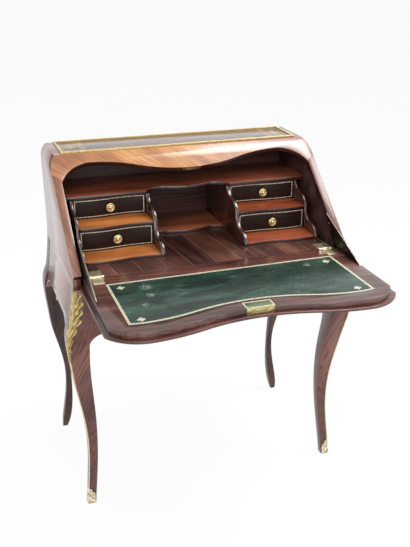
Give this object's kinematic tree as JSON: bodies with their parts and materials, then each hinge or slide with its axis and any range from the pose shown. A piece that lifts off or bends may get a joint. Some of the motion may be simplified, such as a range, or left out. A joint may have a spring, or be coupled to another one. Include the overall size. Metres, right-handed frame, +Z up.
{
  "type": "slant-front writing desk",
  "caption": "Slant-front writing desk on cabriole legs, with a serpentine hinged fall lined in leather, small interior drawers, open shelf and gilt mounts.",
  "frame": {"origin": "middle of the ground rectangle under the desk with its fall open", "axes": "+Z up, -Y towards the person who writes, +X to that person's right"},
  "size_m": [0.8022, 0.7561, 0.922],
  "materials": {
    "case_veneer": "high polish veneer, red brown",
    "frame_veneer": "high polish veneer, orange brown",
    "leg_wood": "high polish veneer, dark brown",
    "fall_wood": "polished veneer, dark mauve brown",
    "carcass_wood": "plain dark stained wood",
    "inner_wood": "polished veneer, red brown",
    "drawer_veneer": "polished veneer, near black",
    "drawer_wood": "plain oak",
    "gilt_bronze": "chased and gilt",
    "brass": "worn brass",
    "iron": "blackened iron",
    "green_leather": "worn dark green leather",
    "brown_leather": "worn dark brown leather"
  },
  "bodies": {
    "carcass": {"back_panel": "carcass_wood", "bottom_board": "carcass_wood", "centre_ledge": "inner_wood", "chute_left": "gilt_bronze", "chute_right": "gilt_bronze", "front_apron": "case_veneer", "front_stile_left": "frame_veneer", "front_stile_right": "frame_veneer", "front_top_rail": "frame_veneer", "hinge_floor_leaves": "brass", "hinge_pins": "brass", "ledge_lower_left": "inner_wood", "ledge_lower_right": "inner_wood", "ledge_upper_left": "inner_wood", "ledge_upper_right": "inner_wood", "leg_fillet_left": "gilt_bronze", "leg_fillet_right": "gilt_bronze", "leg_front_left": "leg_wood", "leg_front_right": "leg_wood", "leg_rear_left": "leg_wood", "leg_rear_right": "leg_wood", "rear_apron": "carcass_wood", "sabot_left": "gilt_bronze", "sabot_right": "gilt_bronze", "shelf": "inner_wood", "side_left": "case_veneer", "side_right": "case_veneer", "strike_plate": "brass", "top_board": "case_veneer", "top_leather": "brown_leather", "top_moulding": "gilt_bronze", "wall_inner_left": "inner_wood", "wall_inner_right": "inner_wood", "wall_outer_left": "inner_wood", "wall_outer_right": "inner_wood", "writing_floor": "inner_wood"},
    "fall": {"fall_board": "fall_wood", "fall_lip": "fall_wood", "fall_leather": "green_leather", "lock_cover": "green_leather", "lock_case": "iron", "lock_plate": "brass", "escutcheon": "brass", "hinge_fall_leaves": "brass", "stay_left": "iron", "stay_right": "iron"},
    "bolt": {"lock_bolt": "iron"},
    "drawer_lower_left": {"drawer_lower_left_front": "drawer_veneer", "drawer_lower_left_tray": "drawer_wood", "drawer_lower_left_knob": "gilt_bronze"},
    "drawer_lower_right": {"drawer_lower_right_front": "drawer_veneer", "drawer_lower_right_tray": "drawer_wood", "drawer_lower_right_knob": "gilt_bronze"},
    "drawer_upper_left": {"drawer_upper_left_front": "drawer_veneer", "drawer_upper_left_tray": "drawer_wood", "drawer_upper_left_knob": "gilt_bronze"},
    "drawer_upper_right": {"drawer_upper_right_front": "drawer_veneer", "drawer_upper_right_tray": "drawer_wood", "drawer_upper_right_knob": "gilt_bronze"}
  },
  "joints": [
    {"name": "fall_hinge", "type": "hinge", "parent": "carcass", "child": "fall", "pos_m": [0, -0.0395, 0.672], "axis": [-1, 0, 0], "range_deg": [0, 140]},
    {"name": "bolt_slide", "type": "slide", "parent": "fall", "child": "bolt", "axis": [0, -1, 0], "range_m": [0, 0.008]},
    {"name": "drawer_lower_left_slide", "type": "slide", "parent": "carcass", "child": "drawer_lower_left", "axis": [0, 1, 0], "range_m": [-0.15, 0]},
    {"name": "drawer_lower_right_slide", "type": "slide", "parent": "carcass", "child": "drawer_lower_right", "axis": [0, 1, 0], "range_m": [-0.15, 0]},
    {"name": "drawer_upper_left_slide", "type": "slide", "parent": "carcass", "child": "drawer_upper_left", "axis": [0, 1, 0], "range_m": [-0.1, 0]},
    {"name": "drawer_upper_right_slide", "type": "slide", "parent": "carcass", "child": "drawer_upper_right", "axis": [0, 1, 0], "range_m": [-0.1, 0]}
  ]
}
